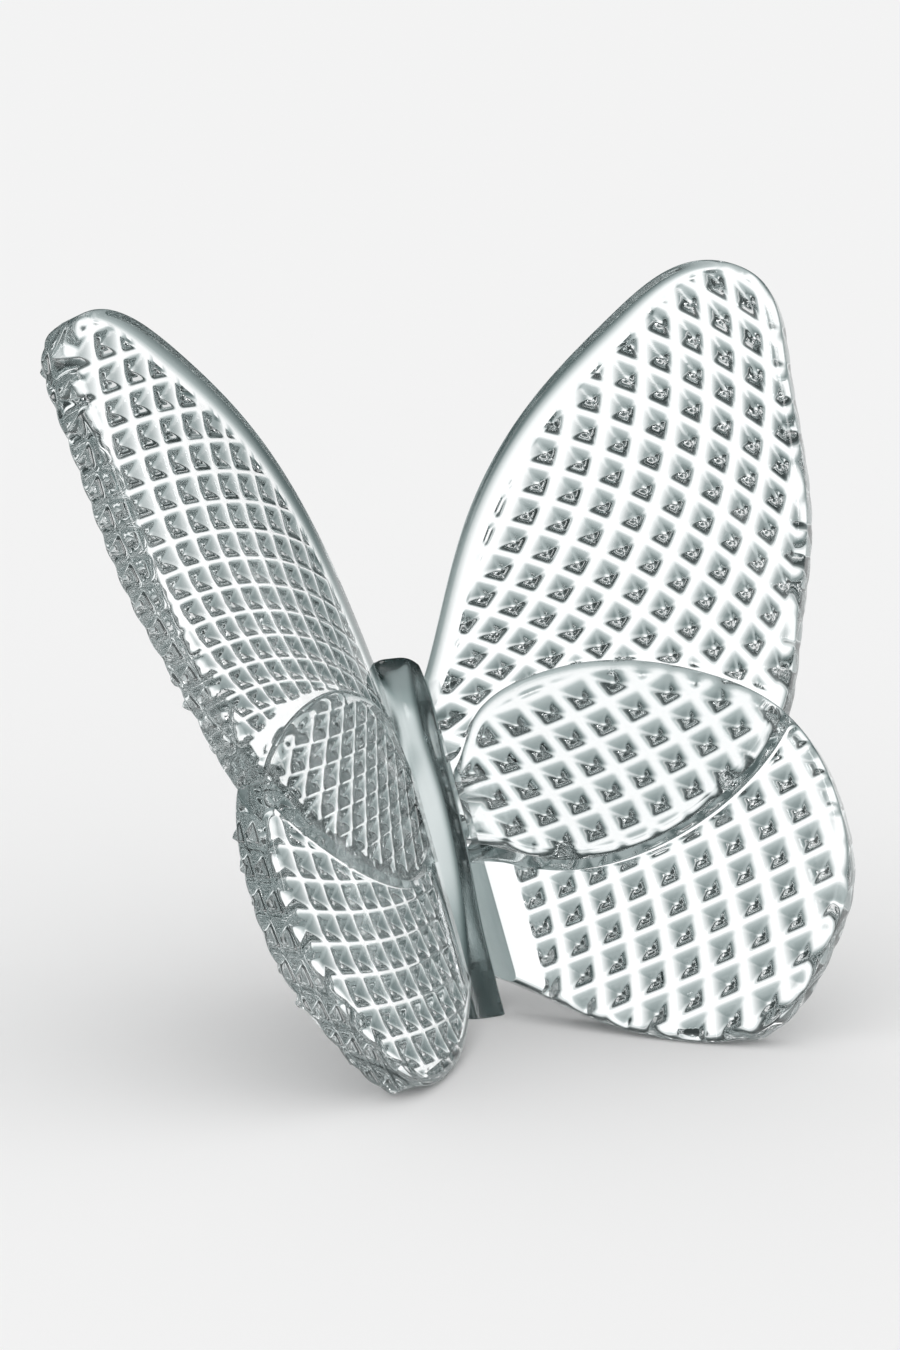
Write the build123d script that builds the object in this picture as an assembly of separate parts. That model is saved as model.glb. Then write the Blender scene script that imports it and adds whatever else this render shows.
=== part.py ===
from build123d import *
import math
import os

# Clear crystal butterfly: a bar body, two forewings and two hindwings, bonded together with thin clear films.
# Millimetres and degrees. X runs from wing to wing, Y runs away from the viewer, Z is up from the table.
# Each wing is drawn on a wing plane: q runs out from the body, p runs up along the wing root,
# and the third direction points to the smooth side of the wing.

# How the wings are carried
shoulder_height = 30.0
wing_lean = 34.5
wing_spread = 38.8

# Bent wing plates: the smooth side is part of a cylinder whose axis runs up along the wing
wing_bend_radius = 67.5
bend_crown_reach = 17.9
forewing_thickness = 3.2
hindwing_thickness = 3.5
hindwing_step = 0.75
edge_round = 0.6

# Forewing outline
forewing_span = 41.1
forewing_rise = 27.1
forewing_drop = 24.4
forewing_margin_shares = (
    (0.036, -0.041),
    (0.208, 0.370),
    (0.416, 0.678),
    (0.654, 0.897),
    (0.892, 1.000),
    (0.982, 0.908),
    (0.993, 0.600),
    (0.931, -0.015),
    (0.843, -0.366),
    (0.769, -0.612),
)
forewing_lower_shares = (
    (0.635, -0.881),
    (0.402, -1.000),
    (0.216, -0.951),
    (0.056, -0.783),
)
forewing_root_shares = (-0.360, -0.620)

# Hindwing outline
hindwing_span = 34.2
hindwing_drop = 44.5
hindwing_margin_shares = (
    (0.059, -0.252),
    (0.133, -0.179),
    (0.332, -0.140),
    (0.546, -0.168),
    (0.773, -0.257),
    (0.921, -0.364),
    (0.984, -0.484),
    (0.997, -0.607),
    (0.958, -0.764),
    (0.867, -0.868),
    (0.755, -0.954),
    (0.631, -0.995),
    (0.481, -0.975),
    (0.236, -0.862),
    (0.027, -0.716),
)
hindwing_root_shares = (-0.312, -0.614)

# Lap where the hindwing lies on the forewing
lap_depth = 1.2
film_thickness = 0.12
lap_clearance = 0.12

# Body bar: one side profile, up the back from the foot, round the head and down behind
body_width = 4.6
body_edge_round = 0.9
foot_front = 17.5
foot_depth = 10.6
head_drop = 1.1
body_profile_shares = (
    (-0.850, 0.130),
    (-0.743, 0.230),
    (-0.577, 0.450),
    (-0.308, 0.737),
    (-0.051, 0.960),
    (0.125, 1.000),
    (0.206, 0.866),
    (-0.034, 0.623),
    (-0.298, 0.342),
)

# Pyramid relief on the rough side of the wings
stud_pitch = 3.0
stud_height = 1.2
stud_sink = 0.3
stud_base_share = 0.84
stud_top_share = 0.10
lattice_reach = 9
rim_width = 1.2
bare_root_width = 4.6

# Lattices: the centre in shares of span and of rise or drop, steps and bows in shares of the stud pitch
lattice_shares = {
    "right_forewing": ((0.570, 0.209), (0.567, 0.800), (-0.747, 0.737),
                       (-0.029, 0.028), (-0.029, -0.017), (-0.014, 0.003)),
    "left_forewing": ((0.555, 0.454), (1.030, -0.180), (0.035, 0.967),
                      (-0.004, -0.024), (-0.029, 0.023), (0.017, -0.012)),
    "right_lap": ((0.409, -0.617), (1.036, 0.108), (-0.342, 0.970),
                  (-0.003, 0.029), (-0.031, 0.015), (0.004, -0.006)),
    "left_lap": ((0.409, -0.580), (0.980, -0.355), (-0.520, 0.900),
                 (0.000, 0.015), (-0.025, 0.010), (0.000, 0.000)),
    "right_hindwing": ((0.514, -0.614), (1.034, 0.108), (-0.025, 0.940),
                       (0.002, 0.016), (-0.027, -0.007), (-0.023, 0.008)),
    "left_hindwing": ((0.544, -0.654), (0.893, -0.190), (0.283, 0.872),
                      (-0.002, 0.022), (-0.025, 0.002), (-0.020, 0.029)),
}

# Cuts and blanks run past the pieces by this much
overrun = 5.0
curve_steps = 48
sides = ("right", "left")

lean = math.radians(wing_lean)
spread = math.radians(wing_spread)
forward = Vector(0, -math.cos(lean), math.sin(lean))
across = Vector(1, 0, 0)
outward = across * math.cos(spread) + forward * math.sin(spread)
smooth_side = forward * math.cos(spread) - across * math.sin(spread)
wing_plane = Plane(origin=(0, 0, shoulder_height), x_dir=outward, z_dir=smooth_side)

head_top = shoulder_height - head_drop
flank = body_width / 2
root_cut = flank + film_thickness
lap_radius = wing_bend_radius - lap_depth
forewing_back_radius = wing_bend_radius - forewing_thickness
hindwing_front_radius = wing_bend_radius + hindwing_step
hindwing_back_radius = hindwing_front_radius - hindwing_thickness
blank_reach = forewing_span + overrun


def scaled(shares, width, height):
    """Points of an outline from shares of a width and a height."""
    return [(q * width, p * height) for q, p in shares]


def moved_out(curve, distance):
    """A smooth curve beside another, a distance out to its left."""
    shares = [step / curve_steps for step in range(curve_steps + 1)]
    return Spline(*[curve @ share + (curve % share).rotate(Axis.Z, 90) * distance for share in shares])


def outline_face(points, grow):
    """The face inside a smooth curve that starts and ends on a straight line, grown sideways."""
    curve = Spline(*points)
    if grow:
        curve = moved_out(curve, grow)
    return make_face([curve, Line(curve @ 1, curve @ 0)])


def forewing_face(grow=0):
    """Forewing outline from the leading edge round the tip to the lower margin, run past the root."""
    high_share, low_share = forewing_root_shares
    points = [(-overrun, high_share * forewing_rise)]
    points += scaled(forewing_margin_shares, forewing_span, forewing_rise)
    points += scaled(forewing_lower_shares, forewing_span, forewing_drop)
    points += [(-overrun, low_share * forewing_drop)]
    return outline_face(points, grow)


def hindwing_face(grow=0):
    """Hindwing outline from its upper arc round the outer margin to the tail, run past the root."""
    high_share, low_share = hindwing_root_shares
    points = [(-overrun, high_share * hindwing_drop)]
    points += scaled(hindwing_margin_shares, hindwing_span, hindwing_drop)
    points += [(-overrun, low_share * hindwing_drop)]
    return outline_face(points, grow)


def body_side(grow=0):
    """Side profile of the body, up the back from the foot, round the head and down behind."""
    points = [(-foot_front, 0)]
    points += scaled(body_profile_shares, foot_front, head_top)
    points += [(foot_depth - foot_front, 0)]
    return Plane.YZ * outline_face(points, grow)


def prism(face):
    """An outline carried through the whole depth of the bent plates."""
    return Pos(0, 0, -blank_reach / 2) * extrude(face, amount=blank_reach)


def bend_cylinder(radius):
    """The solid cylinder that a bent face belongs to, with its axis along the wing root."""
    upright = Location((bend_crown_reach, 0, -wing_bend_radius), (90, 0, 0))
    return upright * Cylinder(radius, 4 * blank_reach)


def plate(face, front_radius, back_radius):
    """A bent plate of an outline between two bend radii."""
    return prism(face) & (bend_cylinder(front_radius) - bend_cylinder(back_radius))


def lattice_point(shares, width, height, i, j):
    """A node of a bowed lattice on the wing plane."""
    centre, row, column, row_bow, column_bow, cross_bow = shares
    q = i * row[0] + j * column[0] + i * i * row_bow[0] + j * j * column_bow[0] + i * j * cross_bow[0]
    p = i * row[1] + j * column[1] + i * i * row_bow[1] + j * j * column_bow[1] + i * j * cross_bow[1]
    return Vector(centre[0] * width + q * stud_pitch, centre[1] * height + p * stud_pitch)


def stud(shares, width, height, back_radius, i, j):
    """One blunt pyramid on the tangent plane of the rough side, its foot sunk into the plate."""
    middle = lattice_point(shares, width, height, i, j)
    turn = math.asin((middle.X - bend_crown_reach) / wing_bend_radius)
    along = Vector(math.cos(turn), 0, -math.sin(turn))
    upward = Vector(0, 1, 0)
    behind = Vector(-math.sin(turn), 0, -math.cos(turn))
    axis_point = Vector(bend_crown_reach, middle.Y, -wing_bend_radius)
    seat = axis_point - behind * back_radius
    half = stud_base_share / 2
    corners = []
    for step_i, step_j in ((-half, -half), (half, -half), (half, half), (-half, half)):
        shift = lattice_point(shares, width, height, i + step_i, j + step_j) - middle
        corners.append(along * (shift.X / math.cos(turn)) + upward * shift.Y)
    foot = [seat - behind * stud_sink + corner * (1 + stud_sink / stud_height) for corner in corners]
    top = [seat + behind * stud_height + corner * stud_top_share for corner in corners]
    faces = [Face(Wire.make_polygon(foot)), Face(Wire.make_polygon(top))]
    for a in range(4):
        b = (a + 1) % 4
        faces.append(Face(Wire.make_polygon([foot[a], foot[b], top[b], top[a]])))
    return Solid(Shell(faces))


def relief(shares, width, height, back_radius, field):
    """The pyramids whose middles lie in a field of the rough side, cut flat where they pass its border."""
    half = stud_base_share / 2
    reach = range(-lattice_reach, lattice_reach + 1)
    border = field.outer_wire()
    studs = []
    for i in reach:
        for j in reach:
            middle = lattice_point(shares, width, height, i, j)
            if not field.is_inside(middle):
                continue
            piece = stud(shares, width, height, back_radius, i, j)
            corners = [(i + a * half, j + b * half) for a in (-1, 1) for b in (-1, 1)]
            if not all(field.is_inside(lattice_point(shares, width, height, *corner)) for corner in corners):
                nearest = border.closest_points(middle)[0]
                cut = Plane(origin=nearest, z_dir=middle - nearest)
                piece = split(piece, bisect_by=cut, keep=Keep.TOP)
            studs.extend(piece.solids())
    return studs


def main_face(faces):
    """The largest face of a sketch, without the scraps past the wing root."""
    return max(faces.faces(), key=lambda face: face.area)


def wing(face, front_radius, back_radius, studs, seat):
    """A bent plate with its pyramids, its long margins rounded as polished glass is, less the lap's seat."""
    blank = plate(face, front_radius, back_radius).fuse(*studs)
    margins = [edge for edge in blank.edges() if edge.length > hindwing_span]
    return fillet(margins, edge_round) - seat


fore_face = forewing_face()
hind_face = hindwing_face()
fore_field = main_face(forewing_face(-rim_width) - hindwing_face(rim_width))
lap_field = main_face(forewing_face(-rim_width) & hindwing_face(-rim_width))
bare_root = Pos(0, -hindwing_drop) * Rectangle(2 * bare_root_width, 2 * hindwing_drop)
hind_field = main_face(hindwing_face(-rim_width) - forewing_face(rim_width) - bare_root)

# Lap: a front seat in the forewing, a back seat in the hindwing and the film between them
fore_seat = prism(hindwing_face(lap_clearance)) - bend_cylinder(lap_radius)
hind_seat = prism(forewing_face(lap_clearance)) & bend_cylinder(lap_radius + film_thickness)
film_face = forewing_face(-edge_round) & hindwing_face(-edge_round)
lap_film = plate(film_face, lap_radius + film_thickness, lap_radius)

# Body bar
body_bar = extrude(body_side(), amount=flank, both=True)
long_edges = [edge for edge in body_bar.edges() if edge.length > head_top]
body = fillet(long_edges, body_edge_round)
flat_flank = extrude(body_side(-body_edge_round), amount=root_cut)

# Trims shared by all the wings
tall = 4 * blank_reach
beyond_root = Pos(root_cut - tall / 2, 0, 0) * Box(tall, tall, tall)
film_slab = Pos((flank + root_cut) / 2, 0, 0) * Box(film_thickness, tall, tall)
below_table = Pos(0, 0, -tall / 2) * Box(tall, tall, tall)

parts = {"body": body}
for side in sides:
    fore_lattice = lattice_shares[side + "_forewing"]
    lap_lattice = lattice_shares[side + "_lap"]
    hind_lattice = lattice_shares[side + "_hindwing"]
    fore_studs = relief(fore_lattice, forewing_span, forewing_rise, forewing_back_radius, fore_field)
    fore_studs += relief(lap_lattice, forewing_span, forewing_drop, forewing_back_radius, lap_field)
    hind_studs = relief(hind_lattice, hindwing_span, hindwing_drop, hindwing_back_radius, hind_field)
    fore_drawn = wing(fore_face, wing_bend_radius, forewing_back_radius, fore_studs, fore_seat)
    hind_drawn = wing(hind_face, hindwing_front_radius, hindwing_back_radius, hind_studs, hind_seat)
    forewing = wing_plane.location * fore_drawn
    hindwing = wing_plane.location * hind_drawn
    film = wing_plane.location * lap_film
    pieces = {
        "forewing": forewing - beyond_root,
        "hindwing": hindwing - beyond_root - below_table,
        "forewing_bond": forewing & film_slab & flat_flank,
        "hindwing_bond": hindwing & film_slab & flat_flank,
        "lap_bond": film - beyond_root,
    }
    for name, piece in pieces.items():
        parts[side + "_" + name] = piece if side == "right" else mirror(piece, about=Plane.YZ)

# The origin lies on the table, under the middle of the whole ornament
boxes = [piece.bounding_box() for piece in parts.values()]
front = min(box.min.Y for box in boxes)
back = max(box.max.Y for box in boxes)
centring = Pos(0, -(front + back) / 2, 0)

os.makedirs("parts", exist_ok=True)
for name, piece in parts.items():
    export_step(centring * piece, "parts/" + name + ".step")
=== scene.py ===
"""Looks of a clear crystal butterfly ornament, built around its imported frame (sizes in millimetres)."""
import logging
import math
from dataclasses import dataclass
from enum import Enum
from functools import cached_property

import bmesh
import bpy
import numpy as np
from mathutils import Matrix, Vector


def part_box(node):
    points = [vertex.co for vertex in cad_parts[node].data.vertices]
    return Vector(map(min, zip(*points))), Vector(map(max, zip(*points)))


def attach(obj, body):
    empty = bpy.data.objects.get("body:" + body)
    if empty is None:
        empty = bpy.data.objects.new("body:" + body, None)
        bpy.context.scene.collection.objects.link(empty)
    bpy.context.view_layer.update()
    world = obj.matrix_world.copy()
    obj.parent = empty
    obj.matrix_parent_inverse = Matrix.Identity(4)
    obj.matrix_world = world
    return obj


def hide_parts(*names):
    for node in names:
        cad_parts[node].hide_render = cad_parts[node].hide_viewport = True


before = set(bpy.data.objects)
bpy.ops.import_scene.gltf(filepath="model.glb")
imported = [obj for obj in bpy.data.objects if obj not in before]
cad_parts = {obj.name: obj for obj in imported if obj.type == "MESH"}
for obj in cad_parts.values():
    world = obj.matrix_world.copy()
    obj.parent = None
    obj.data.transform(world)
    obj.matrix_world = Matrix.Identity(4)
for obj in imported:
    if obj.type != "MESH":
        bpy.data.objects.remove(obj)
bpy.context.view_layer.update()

Array = np.ndarray
Pair = tuple[float, float]
Triple = tuple[float, float, float]
Shares = tuple[Pair, ...]
Margins = list[tuple[Array, Array]]

LOG = logging.getLogger("butterfly")
MM = 0.001
ROOT_BODY = "root"
SHOULDER_HEIGHT = 30.0
WELD = 0.001 * MM
SLIVER = 0.0005 * MM
SHARP_ANGLE = math.radians(42.0)
SPLINE_FINENESS = 8
ROOT_ROUNDS = 12
TINY = 1e-12


class Side(Enum):
    """The two sides of the ornament, as the sign of X."""

    RIGHT = 1.0
    LEFT = -1.0

    @property
    def word(self) -> str:
        """The side's name as the nodes spell it."""
        return self.name.lower()


def smooth_step(low: float, high: float, value: Array) -> Array:
    """Cubic ease 3t^2 - 2t^3 from 0 at low to 1 at high.

    Args:
        low: Value where the ease starts.
        high: Value where it ends.
        value: Values to ease.

    Returns:
        The eased values, from 0 to 1.
    """
    t = np.clip((value - low) / (high - low), 0.0, 1.0)
    return t * t * (3.0 - 2.0 * t)


def spline(knots: Array, count: int) -> tuple[Array, Array]:
    """Free-ended cubic spline through knots, evenly spaced along its length.

    Between two knots a chord g apart the curve is a*K0 + b*K1 + ((a^3 - a)*m0 + (b^3 - b)*m1) * g^2 / 6,
    where a and b fall and rise from knot to knot and m are the second derivatives that keep it smooth.

    Args:
        knots: Points of the curve, one row each.
        count: Number of points wanted.

    Returns:
        The points, and the share of the whole length at which each knot lies.
    """
    gap = np.linalg.norm(np.diff(knots, axis=0), axis=1)
    chord = np.r_[0.0, np.cumsum(gap)]
    last = len(knots) - 1
    system = np.eye(last + 1)
    inner = np.arange(1, last)
    system[inner, inner - 1] = gap[:-1]
    system[inner, inner] = 2.0 * (gap[:-1] + gap[1:])
    system[inner, inner + 1] = gap[1:]
    slope = np.diff(knots, axis=0) / gap[:, None]
    load = np.zeros_like(knots)
    load[1:-1] = 6.0 * np.diff(slope, axis=0)
    bend = np.linalg.solve(system, load)

    def at(place: Array) -> Array:
        """Points of the curve at places along its chords."""
        span = np.clip(np.searchsorted(chord, place, side="right") - 1, 0, last - 1)
        a = ((chord[span + 1] - place) / gap[span])[:, None]
        b = 1.0 - a
        lift = ((a**3 - a) * bend[span] + (b**3 - b) * bend[span + 1]) * (gap[span] ** 2)[:, None] / 6.0
        return a * knots[span] + b * knots[span + 1] + lift

    fine = np.linspace(0.0, chord[-1], SPLINE_FINENESS * count)
    run = np.r_[0.0, np.cumsum(np.linalg.norm(np.diff(at(fine), axis=0), axis=1))]
    even = np.interp(np.linspace(0.0, run[-1], count), run, fine)
    return at(even), np.interp(chord, fine, run) / run[-1]


def coons(top: Array, bottom: Array, left: Array, right: Array) -> Array:
    """Coons patch: the two ruled patches of opposite borders added, less the one of the corners.

    Args:
        top: First row of points, from left to right.
        bottom: Last row of points, from left to right.
        left: First column of points, from top to bottom.
        right: Last column of points, from top to bottom.

    Returns:
        Grid of points, one row for each point of left and one column for each point of top.
    """
    s = np.linspace(0.0, 1.0, len(top))[None, :, None]
    t = np.linspace(0.0, 1.0, len(left))[:, None, None]
    rows = (1.0 - t) * top[None] + t * bottom[None]
    columns = (1.0 - s) * left[:, None] + s * right[:, None]
    corners = (1.0 - t) * ((1.0 - s) * top[0] + s * top[-1]) + t * ((1.0 - s) * bottom[0] + s * bottom[-1])
    return rows + columns - corners


def line(start: Array, end: Array, count: int) -> Array:
    """Evenly spaced points from start to end, both included."""
    return start + np.linspace(0.0, 1.0, count)[:, None] * (end - start)


def closed(ring: Array) -> Array:
    """Rows of points with the first point of each row repeated at its end."""
    return np.concatenate([ring, ring[:, :1]], axis=1)


@dataclass(frozen=True)
class WingPlane:
    """The plane that a side's wings are drawn on, and the cylinder that they are bent round.

    q runs out from the body, p runs up along the wing root, and r is the distance from the bend axis,
    which lies behind the wing, so the smooth side has the larger r.
    """

    shoulder: Triple
    lean: float = math.radians(34.5)
    spread: float = math.radians(38.8)
    bend_radius: float = 67.5
    crown_reach: float = 17.9
    root_cut: float = 2.24

    @cached_property
    def axes(self) -> Array:
        """Unit vectors of q, of p and of the smooth side, one row each."""
        forward = np.array([0.0, -math.cos(self.lean), math.sin(self.lean)])
        across = np.array([1.0, 0.0, 0.0])
        outward = across * math.cos(self.spread) + forward * math.sin(self.spread)
        upward = np.array([0.0, math.sin(self.lean), math.cos(self.lean)])
        smooth = forward * math.cos(self.spread) - across * math.sin(self.spread)
        return np.stack([outward, upward, smooth])

    def rise(self, q: Array, r: Array) -> Array:
        """Height over the plane: sqrt(r^2 - (q - crown)^2) less the bend radius."""
        return np.sqrt(r * r - (q - self.crown_reach) ** 2) - self.bend_radius

    def place(self, q: Array, p: Array, r: Array) -> Array:
        """Points of the right side in the row frame.

        Args:
            q: Reach from the body.
            p: Height along the root.
            r: Distance from the bend axis.

        Returns:
            Points in millimetres, with x, y and z in the last axis.
        """
        q, p, r = np.broadcast_arrays(q, p, r)
        local = np.stack([q, p, self.rise(q, r)], axis=-1)
        return local @ self.axes + np.array(self.shoulder)

    def root_reach(self, r: Array) -> Array:
        """The q at which a face of radius r meets the flat root cut beside the body."""
        q = np.zeros_like(r)
        for _ in range(ROOT_ROUNDS):
            q = (self.root_cut + self.rise(q, r) * math.sin(self.spread)) / math.cos(self.spread)
        return q

    def grounded(self, q: Array, p: Array, r: Array) -> Array:
        """The p of points that would pass below the table, slid up along the root to z = 0."""
        z = self.place(q, p, r)[..., 2]
        return p - np.minimum(z, 0.0) / self.axes[1, 2]


@dataclass(frozen=True)
class Outline:
    """Outline of a wing on its plane, from the root's upper end round the tip to the root's lower end.

    near_root is the number of points by the upper end that count as lying on the forewing, and block the
    number of points that are measured at once.
    """

    knots: Shares
    steps: int = 1600
    stride: int = 6
    block: int = 6000
    near_root: int = 133

    @cached_property
    def grid(self) -> Array:
        """Share of the length at each point of the outline."""
        return np.linspace(0.0, 1.0, self.steps)

    @cached_property
    def _spline(self) -> tuple[Array, Array]:
        """The smooth curve and the shares of its length at the knots."""
        return spline(np.array(self.knots), self.steps)

    @property
    def curve(self) -> Array:
        """Evenly spaced points of the outline."""
        return self._spline[0]

    @property
    def knot_shares(self) -> Array:
        """Share of the outline's length at each knot."""
        return self._spline[1]

    @cached_property
    def inward(self) -> Array:
        """Unit vectors from the outline into the wing, the tangent turned a quarter to the right."""
        tangent = np.gradient(self.curve, axis=0)
        tangent /= np.linalg.norm(tangent, axis=1)[:, None]
        return np.stack([tangent[:, 1], -tangent[:, 0]], axis=1)

    def inset(self, distance: Array | float) -> Array:
        """The outline moved into the wing by a distance, or by one for each of its points."""
        return self.curve + self.inward * np.broadcast_to(distance, self.steps)[:, None]

    def sample(self, curve: Array, shares: Array) -> Array:
        """Points of an inset curve at shares of the outline's length."""
        return np.stack([np.interp(shares, self.grid, curve[:, axis]) for axis in (0, 1)], axis=1)

    def depth(self, q: Array, p: Array) -> tuple[Array, Array]:
        """Signed distance from the outline, positive inside, and the share of the nearest point.

        The distance is the least one to the outline's chords; a point is inside where a level ray
        from it crosses the closed outline an odd number of times.

        Args:
            q: Reach of the points.
            p: Height of the points.

        Returns:
            Distance and share, shaped as q.
        """
        start = self.curve[:: self.stride]
        end = np.roll(start, -1, axis=0)
        edge = end - start
        length2 = (edge**2).sum(axis=1)
        points = np.stack([q.ravel(), p.ravel()], axis=1)
        depths, shares = [], []
        for block in np.array_split(points, max(1, len(points) // self.block)):
            gap = block[:, None, :] - start[None]
            along = np.clip((gap * edge[None]).sum(axis=2) / length2, 0.0, 1.0)
            far2 = ((gap - along[..., None] * edge[None]) ** 2).sum(axis=2)
            nearest = far2.argmin(axis=1)
            rows = np.arange(len(block))
            straddles = (start[None, :, 1] > block[:, None, 1]) != (end[None, :, 1] > block[:, None, 1])
            climb = np.where(np.abs(edge[:, 1]) > TINY, edge[:, 1], TINY)
            crossing = start[:, 0] + (block[:, None, 1] - start[:, 1]) / climb * edge[:, 0]
            inside = (straddles & (block[:, None, 0] < crossing)).sum(axis=1) % 2 == 1
            depths.append(np.sqrt(far2[rows, nearest]) * np.where(inside, 1.0, -1.0))
            shares.append((nearest + along[rows, nearest]) / len(start))
        return np.concatenate(depths).reshape(q.shape), np.concatenate(shares).reshape(q.shape)

    def trim(self, curve: Array, q_root: float) -> tuple[float, float]:
        """Shares of the length at which an inset curve leaves the root and comes back to it."""
        beyond = np.flatnonzero(curve[:, 0] > q_root)
        first, last = beyond[0], beyond[-1]
        lead = (q_root - curve[first - 1, 0]) / (curve[first, 0] - curve[first - 1, 0])
        tail = (q_root - curve[last, 0]) / (curve[last + 1, 0] - curve[last, 0])
        return (first - 1 + lead) / (self.steps - 1), (last + tail) / (self.steps - 1)


@dataclass(frozen=True)
class Lattice:
    """Bowed lattice of pyramids: a point is centre + pitch * (u row + v column + u^2 a + v^2 b + u v c)."""

    centre: Pair
    row: Pair
    column: Pair
    row_bow: Pair
    column_bow: Pair
    cross_bow: Pair
    pitch: float = 3.0
    rounds: int = 8
    least_turn: float = 0.15
    most_rows: float = 14.0

    def coordinates(self, q: Array, p: Array) -> tuple[Array, Array]:
        """Row and column numbers of points, by Newton's method on the lattice formula.

        Args:
            q: Reach of the points.
            p: Height of the points.

        Returns:
            u and v, whole numbers at the pyramids' middles.
        """
        row, column, a, b, c = (np.array(pair) for pair in (
            self.row, self.column, self.row_bow, self.column_bow, self.cross_bow))
        goal = (np.stack([q, p], axis=-1) - np.array(self.centre)) / self.pitch
        u, v = np.zeros_like(q), np.zeros_like(q)
        for _ in range(self.rounds):
            x, y = u[..., None], v[..., None]
            miss = x * row + y * column + x * x * a + y * y * b + x * y * c - goal
            along = row + 2.0 * x * a + y * c
            aside = column + 2.0 * y * b + x * c
            turn = along[..., 0] * aside[..., 1] - aside[..., 0] * along[..., 1]
            turn = np.where(np.abs(turn) < self.least_turn, self.least_turn, turn)
            step_u = (miss[..., 0] * aside[..., 1] - miss[..., 1] * aside[..., 0]) / turn
            step_v = (miss[..., 1] * along[..., 0] - miss[..., 0] * along[..., 1]) / turn
            u = np.clip(u - step_u, -self.most_rows, self.most_rows)
            v = np.clip(v - step_v, -self.most_rows, self.most_rows)
        return u, v


@dataclass(frozen=True)
class Pyramids:
    """Shape of one pressed pyramid: hollow flanks that flare into the valley, soft ridges and a blunt top."""

    height: float = 1.05
    base_share: float = 0.97
    flare: float = 1.75
    ridge_power: float = 7.0
    top_share: float = 0.84
    top_softness: float = 0.06

    def rise(self, u: Array, v: Array) -> Array:
        """Height of the relief over the plate.

        With m the power mean of the distances |du| and |dv| from the pyramid's middle and x = 1 - 2 m / base,
        the flank rises as x to the power of the flare, and a soft minimum blunts it at its top.

        Args:
            u: Row numbers.
            v: Column numbers.

        Returns:
            Heights in millimetres.
        """
        du = np.abs(u - np.round(u))
        dv = np.abs(v - np.round(v))
        n = self.ridge_power
        mean = (du**n + dv**n) ** (1.0 / n)
        flank = np.clip(1.0 - 2.0 * mean / self.base_share, 0.0, 1.0) ** self.flare
        over = flank - self.top_share
        soft = self.top_softness
        return self.height * (flank - 0.5 * (over + np.sqrt(over * over + soft * soft)) + 0.5 * (
            np.sqrt(self.top_share**2 + soft * soft) - self.top_share))


class Wiring:
    """Short words for adding and linking the nodes of one tree."""

    def __init__(self, tree: bpy.types.NodeTree) -> None:
        """Take the tree to work on."""
        self.tree = tree

    def add(self, kind: str, operation: str = "", **values: float | tuple[float, ...]) -> bpy.types.Node:
        """Add a node.

        Args:
            kind: Type of the node, without the prefix that all shader nodes have.
            operation: What a maths node does.
            values: Constants of its sockets, with an underscore for each space of a socket's name.

        Returns:
            The node.
        """
        node = self.tree.nodes.new(f"ShaderNode{kind}")
        if operation:
            node.operation = operation
        self.put(node, **values)
        return node

    @staticmethod
    def put(node: bpy.types.Node, **values: float | tuple[float, ...]) -> None:
        """Set constants on a node's sockets, with an underscore for each space of a socket's name."""
        for name, value in values.items():
            node.inputs[name.replace("_", " ")].default_value = value

    def link(self, source: bpy.types.Node, output: str | int, goal: bpy.types.Node, entry: str | int) -> None:
        """Link an output of one node to an input of another, each by its name or number."""
        self.tree.links.new(source.outputs[output], goal.inputs[entry])


@dataclass(frozen=True)
class ClearFinish:
    """Clear crystal or adhesive: refraction, faint clouds in the polish, mould waves and a tint in depth."""

    name: str
    tint: Triple = (0.985, 0.99, 0.99)
    index: float = 1.54
    haze: Pair = (0.0, 0.012)
    cloud_scale: float = 330.0
    cloud_detail: float = 2.0
    wave_depth: float = 0.000006
    depth_tint: Triple = (0.82, 0.86, 0.86)
    depth_density: float = 30.0

    def material(self) -> bpy.types.Material:
        """Node material of the finish.

        Returns:
            The material, on Object coordinates.
        """
        made = bpy.data.materials.new(self.name)
        made.use_nodes = True
        wires = Wiring(made.node_tree)
        shader, out = (made.node_tree.nodes[name] for name in ("Principled BSDF", "Material Output"))
        wires.put(shader, Base_Color=(*self.tint, 1.0), IOR=self.index, Transmission_Weight=1.0)
        place = wires.add("TexCoord")
        cloud = wires.add("TexNoise", Scale=self.cloud_scale, Detail=self.cloud_detail)
        gloss = wires.add("MapRange", To_Min=self.haze[0], To_Max=self.haze[1])
        wires.link(place, "Object", cloud, "Vector")
        wires.link(cloud, "Fac", gloss, "Value")
        wires.link(gloss, "Result", shader, "Roughness")
        if self.wave_depth:
            swell = wires.add("Bump", Distance=self.wave_depth)
            wires.link(cloud, "Fac", swell, "Height")
            wires.link(swell, "Normal", shader, "Normal")
        if self.depth_density:
            depth = wires.add("VolumeAbsorption", Color=(*self.depth_tint, 1.0), Density=self.depth_density)
            wires.link(depth, "Volume", out, "Volume")
        return made


WING_CRYSTAL = ClearFinish("crystal_wing")
BODY_CRYSTAL = ClearFinish(
    "crystal_body", haze=(0.08, 0.22), depth_tint=(0.835, 0.86, 0.86), depth_density=500.0)
CLEAR_FILM = ClearFinish(
    "clear_film", index=1.02, haze=(0.01, 0.05), cloud_scale=900.0, wave_depth=0.0, depth_density=0.0)


def grid_quads(rows: int, columns: int, start: int = 0) -> Array:
    """Corner numbers of the faces of a grid of points, counted from start."""
    index = start + np.arange(rows * columns).reshape(rows, columns)
    corners = [index[:-1, :-1], index[:-1, 1:], index[1:, 1:], index[1:, :-1]]
    return np.stack(corners, axis=-1).reshape(-1, 4)


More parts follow.
